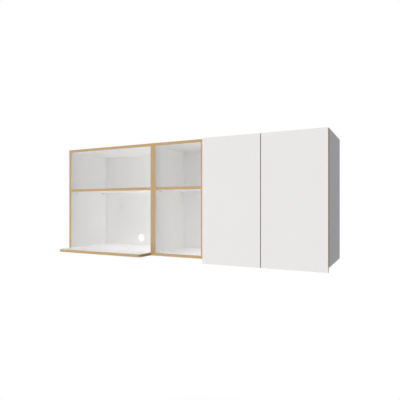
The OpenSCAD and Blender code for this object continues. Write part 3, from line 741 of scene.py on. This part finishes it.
# %% [markdown]
# ## Hanger screws
#
# Each hanger is fixed to its side with two screws, and hangs on a long one that a
# fitter turns to level the cabinet. That one shows its thread, a ridge that climbs one
# pitch each turn. A noise or a bump could hint at it, but it has to be there from close
# by and in the mesh itself, so the rod's own points make it: the radius falls with
# the distance from the ridge, and the ridge's height is the angle's share of a turn.
# The real pitch is 0.5 mm. It is drawn at 1 mm to save faces.

# %% Hanger bracket screws
BRACKET_FACE, BRACKET_SCREW_Y = 1.5 * MM, -8 * MM
BRACKET_SCREW_Z = (16 * MM, -6 * MM)

inner_faces = []
for unit in UNITS:
    inner_faces.append((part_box(f"{unit}_left_side")[1].x, 1.0))
    inner_faces.append((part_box(f"{unit}_right_side")[0].x, -1.0))
bracket_parts = []
for x, inwards in inner_faces:
    origins = [(x + inwards * BRACKET_FACE, BRACKET_SCREW_Y, z) for z in BRACKET_SCREW_Z]
    axes = [(inwards, 0.0, 0.0)] * len(origins)
    bracket_parts += placed_screws(screws["fixing"], origins, axes)
make_piece("hanger_bracket_screws", bracket_parts, zinc, "carcass", "zinc_plate",
           "hanger_fixing_screws")

# %% Hanger levelling screws
THREAD_PITCH = 1.0 * MM
THREAD_DEPTH = 0.25 * MM
THREAD_ROWS = 5             # rings in one pitch
THREAD_COLUMNS = 20
ROD_R, ROD_LENGTH = 1.5 * MM, 30 * MM
ROD_IN, ROD_Y, ROD_FOOT_Z = 23.8 * MM, -11.5 * MM, -12 * MM
UP = (0.0, 0.0, 1.0)


def threaded_rod(radius, length):
    """A rod along Z with a thread: the radius is less by the thread's depth times the
    distance from the ridge, as a share of half a pitch."""
    z = np.arange(0.0, length + 1e-9, THREAD_PITCH / THREAD_ROWS)[:, None]
    angle = np.linspace(0.0, 2 * np.pi, THREAD_COLUMNS, endpoint=False)[None]
    share = (z / THREAD_PITCH - angle / (2 * np.pi)) % 1.0
    r = radius - THREAD_DEPTH * (1.0 - np.abs(2 * share - 1.0))
    return np.stack([r * np.cos(angle), r * np.sin(angle), z + 0 * angle], axis=2)


origins = [(x + inwards * ROD_IN, ROD_Y, ROD_FOOT_Z) for x, inwards in inner_faces]
rod_parts = placed_screws(threaded_rod(ROD_R, ROD_LENGTH), origins, [UP] * len(origins))
make_piece("hanger_levelling_screws", rod_parts, nickel, "carcass", "nickel_plate",
           "hanger_adjusting_screws")

# %% [markdown]
# ## Floor
#
# The cabinet hangs about 1.4 m above the floor. A large plane would show its horizon, so
# a round pale floor lies there, under the cabinet only, and melts into the white
# background towards its rim. Its shadow stays. The lamps leave it grey, because they
# fall on it at a slant, so where it is seen its colour is raised until the part in full
# light is white: for rays of the camera, of reflections and of clear materials, and not
# for the light itself. A stronger lamp would do it too, but would wash out the cabinet.

# %% Floor
HANGING_HEIGHT = 1.40
FLOOR_R = 1.4
FLOOR_CORNERS = 96
FADE_FROM, FADE_TO = 0.55, 0.98     # shares of the radius
FLOOR_WHITE = 0.9
FLOOR_SEEN = 1.27


def seen_ray(tree):
    """1 for a ray of the camera, a reflection or a clear material, and 0 for others."""
    ray = add(tree, "ShaderNodeLightPath")
    seen = add(tree, "ShaderNodeMath", {
        0: ray.outputs["Is Camera Ray"], 1: ray.outputs["Is Glossy Ray"]}, operation="MAXIMUM")
    return add(tree, "ShaderNodeMath", {
        0: seen.outputs["Value"], 1: ray.outputs["Is Transmission Ray"]},
        operation="MAXIMUM").outputs["Value"]


def make_floor():
    """A matt pale surface that turns clear towards the rim of a circle."""
    finish, tree = new_finish("pale_floor")
    place = add(tree, "ShaderNodeTexCoord")
    distance = add(tree, "ShaderNodeVectorMath", {0: place.outputs["Object"]},
                   operation="LENGTH")
    rim = add(tree, "ShaderNodeMapRange", {
        "Value": distance.outputs["Value"],
        "From Min": FADE_FROM * FLOOR_R, "From Max": FADE_TO * FLOOR_R})
    level = add(tree, "ShaderNodeMapRange", {
        "Value": seen_ray(tree), "To Min": FLOOR_WHITE, "To Max": FLOOR_SEEN})
    matt = add(tree, "ShaderNodeBsdfDiffuse", {"Color": level.outputs["Result"]})
    clear = add(tree, "ShaderNodeBsdfTransparent")
    mixed = add(tree, "ShaderNodeMixShader", {
        0: rim.outputs["Result"], 1: matt.outputs["BSDF"], 2: clear.outputs["BSDF"]})
    add(tree, "ShaderNodeOutputMaterial", {"Surface": mixed.outputs["Shader"]})
    return finish


bpy.ops.mesh.primitive_circle_add(vertices=FLOOR_CORNERS, radius=FLOOR_R, fill_type="NGON")
floor = bpy.context.object
floor.name = "floor"
floor.location = (0.0, 0.5 * (cad_low[1] + cad_high[1]), cad_low[2] - HANGING_HEIGHT)
dress(floor, make_floor())
print("the floor lies at z =", round(floor.location.z, 3), "m")

# %% [markdown]
# ## Light
#
# The light is plain and soft. One even sky could light it all, but then the bays would
# look flat. So two lamps stand high in front, one of them to the left. From there they
# reach the floors of the open bays and the doors, but hardly the backs, so each floor
# stands out from the back above it. Two lamps stand low in front, as light from a pale
# floor would, and reach the undersides of the shelves. The four together give the doors
# their colour as it is written. A fifth lamp stands behind, where only the side to the
# wall sees it. It is kept out of reflections, because its glint would show along the
# edges from in front.

# %% Lamps
LAMPS = {  # strength, direction that it stands in, size in radians, colour
    "high_left_lamp": (1.28, Vector((-0.50, -0.50, 0.71)), 0.7, "#FFFFFF"),
    "high_front_lamp": (0.70, Vector((0.00, -0.71, 0.71)), 0.7, "#FFFFFF"),
    "low_left_lamp": (0.88, Vector((-0.66, -0.66, -0.34)), 0.7, "#FFFEF8"),
    "low_front_lamp": (1.07, Vector((0.00, -0.91, -0.42)), 2.0, "#FFFEF8"),
    "rear_lamp": (2.00, Vector((0.00, 1.00, 0.30)), 0.5, "#FFFDF5")}

for name, (strength, from_direction, size, colour) in LAMPS.items():
    lamp_data = bpy.data.lights.new(name, "SUN")
    lamp_data.energy, lamp_data.angle, lamp_data.color = strength, size, linear(colour)[:3]
    lamp = bpy.data.objects.new(name, lamp_data)
    lamp.rotation_euler = from_direction.to_track_quat("Z", "Y").to_euler()
    lamp.visible_glossy = name != "rear_lamp"
    bpy.context.scene.collection.objects.link(lamp)
print("lamps:", ", ".join(LAMPS))

# %% [markdown]
# ## Sky and background
#
# A weak, cool sky is most of what reaches the right side. Much of the light in the open
# bays has bounced from board to board. A render follows only a few such bounces, so the
# sky answers a ray that has bounced four times with a higher level, which stands for
# the bounces that are left out. The camera, reflections and clear materials see a white
# background. It could be a white wall, but that would throw light back on the cabinet,
# so it is painted on those rays alone.

# %% Sky and background
SKY_LEVEL = 0.134
BAY_LEVEL = 5.2
BOUNCE_LIMIT = 3.5          # between the third bounce and the fourth

world = bpy.data.worlds.new("white_studio")
world.use_nodes = True
sky = world.node_tree
sky.nodes.clear()
ray = add(sky, "ShaderNodeLightPath")
bounced = add(sky, "ShaderNodeMath", {0: ray.outputs["Diffuse Depth"], 1: BOUNCE_LIMIT},
              operation="GREATER_THAN")
cool_sky = add(sky, "ShaderNodeBackground", {
    "Color": linear("#DCE1FF"), "Strength": SKY_LEVEL})
bay_light = add(sky, "ShaderNodeBackground", {
    "Color": linear("#F6F9FF"), "Strength": BAY_LEVEL})
background = add(sky, "ShaderNodeBackground", {"Color": linear("#FFFFFF"), "Strength": 1.0})
lighting = add(sky, "ShaderNodeMixShader", {
    0: bounced.outputs["Value"], 1: cool_sky.outputs["Background"],
    2: bay_light.outputs["Background"]})
studio = add(sky, "ShaderNodeMixShader", {
    0: seen_ray(sky), 1: lighting.outputs["Shader"], 2: background.outputs["Background"]})
add(sky, "ShaderNodeOutputWorld", {"Surface": studio.outputs["Shader"]})
bpy.context.scene.world = world
bpy.context.scene.view_settings.view_transform = "Standard"
print("the sky's level is", SKY_LEVEL, "and", BAY_LEVEL, "after the last bounce")

# %% [markdown]
# ## Camera
#
# The camera stands right of the middle, a little under half height, level, and turned
# 27.4 degrees to the left. It could be moved by hand until the picture looks right.
# Instead its place and its lens were worked out together from 28 straight edges of the
# cabinet, measured in its photograph, which leaves a mean error of less than a tenth of
# a pixel. A small shift of the lens frames the cabinet, so the camera needn't tilt and
# upright edges stay upright.

# %% Camera
EYE = Vector((1.0138, -2.1255, -0.2890))
TURN_LEFT = np.radians(27.376)
LENS_MM = 35.721
SENSOR_MM = 36.0
SHIFT = (0.01773, 0.01430)

camera_data = bpy.data.cameras.new("camera")
camera_data.lens = LENS_MM
camera_data.sensor_width = SENSOR_MM
camera_data.shift_x, camera_data.shift_y = SHIFT
camera = bpy.data.objects.new("camera", camera_data)
camera.location = EYE
camera.rotation_euler = (np.radians(90.0), 0.0, TURN_LEFT)
bpy.context.scene.collection.objects.link(camera)
bpy.context.scene.camera = camera
print("the camera sees", round(float(np.degrees(camera_data.angle)), 1), "degrees")
